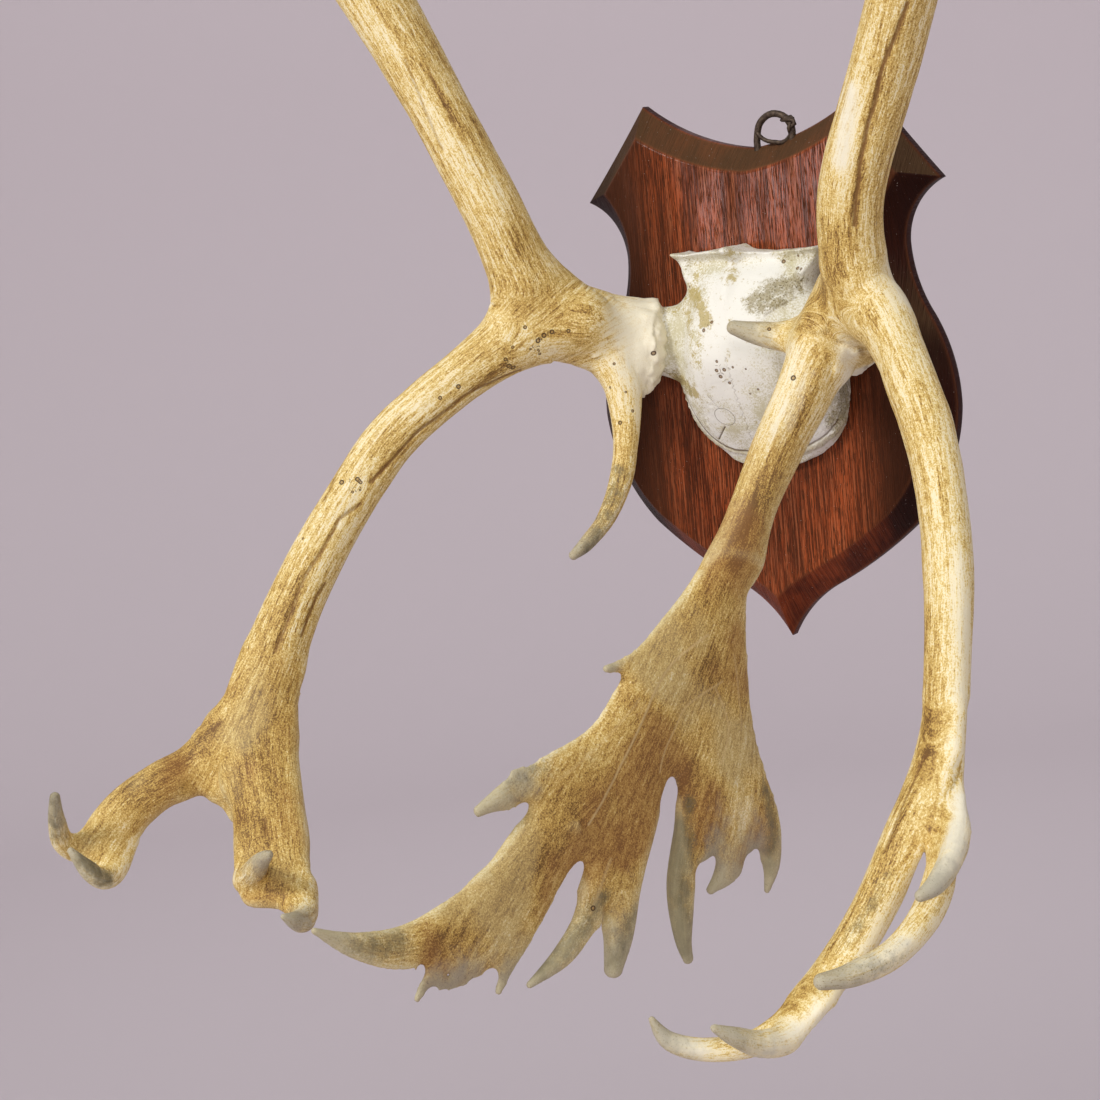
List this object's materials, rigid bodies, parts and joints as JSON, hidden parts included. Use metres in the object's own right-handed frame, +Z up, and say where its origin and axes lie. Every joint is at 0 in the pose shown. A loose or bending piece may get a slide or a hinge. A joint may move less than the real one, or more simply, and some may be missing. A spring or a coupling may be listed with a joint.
{
  "type": "caribou skull mount",
  "caption": "Caribou skull cap with a full pair of antlers, a palmate brow shovel on one side, screwed flat to a shield-shaped wooden wall plaque with a wire hanging loop.",
  "frame": {"origin": "on the plaque's flat back face, at the plaque's centre", "axes": "+Z up the wall, +Y into the wall, +X to the right of someone who faces the mount; the antlers reach out along -Y"},
  "size_m": [0.6418, 0.5199, 1.15],
  "materials": {
    "mahogany": "reddish brown wood with fine upright grain, satin varnish, dusty upper bevel",
    "dark_iron": "dark brown, dull, tarnished iron wire",
    "skull_bone": "chalky white bone with olive stains and small pits",
    "antler": "ivory and tan antler, streaked brown along its length, with pale grey worn tips"
  },
  "bodies": {
    "root": {"plaque": "mahogany", "hanger_loop": "dark_iron", "skull_cap": "skull_bone", "left_antler_base": "antler", "left_beam": "antler", "left_back_tine": "antler", "left_crown": "antler", "left_brow_tine": "antler", "left_bez_tine": "antler", "left_bez_outer_prong": "antler", "left_bez_inner_prong": "antler", "right_antler_base": "antler", "right_beam": "antler", "right_back_tine": "antler", "right_crown": "antler", "right_brow_shovel": "antler", "right_bez_tine": "antler", "right_bez_outer_prong": "antler", "right_bez_inner_prong": "antler"}
  },
  "joints": []
}
